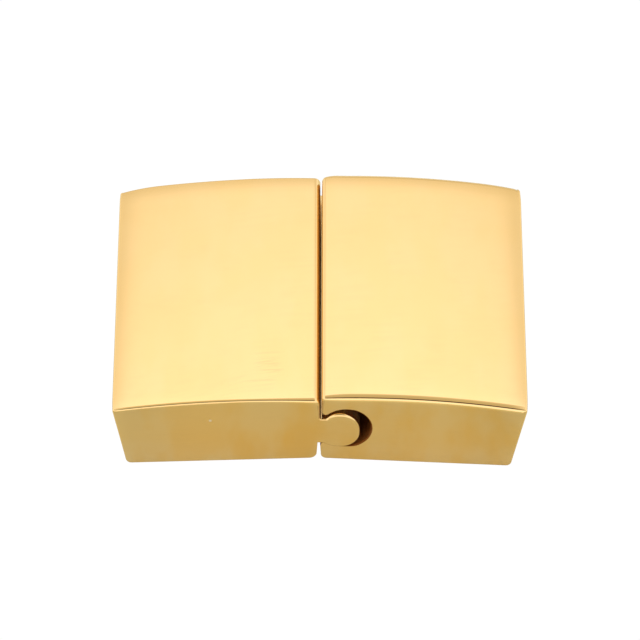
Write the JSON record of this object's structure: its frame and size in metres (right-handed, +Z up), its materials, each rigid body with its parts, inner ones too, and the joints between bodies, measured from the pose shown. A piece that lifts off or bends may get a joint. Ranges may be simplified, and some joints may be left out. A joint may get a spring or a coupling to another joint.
{
  "type": "magnetic clasp",
  "caption": "Arched rectangular clasp whose halves meet at a tongue and keyhole socket, slide apart sideways and hold by magnets, with a strap pocket in each end.",
  "frame": {"origin": "on the supporting surface, in the middle of the open joint, centred along the slide", "axes": "+X from the tongue half to the socket half, +Y along the slide towards the back, +Z up out of the arched top"},
  "size_m": [0.03, 0.024, 0.0068],
  "materials": {
    "gold_plate": "polished yellow gold plating on stainless steel, almost a mirror, with very fine hairline scratches",
    "magnet": "satin nickel plating"
  },
  "bodies": {
    "socket_side": {"socket_half": "gold_plate", "socket_magnet": "magnet"},
    "tongue_side": {"tongue_half": "gold_plate", "tongue_magnet": "magnet"}
  },
  "joints": [
    {"name": "clasp_slide", "type": "slide", "parent": "socket_side", "child": "tongue_side", "axis": [0, 1, 0], "range_m": [-0.0245, 0.0245]}
  ]
}
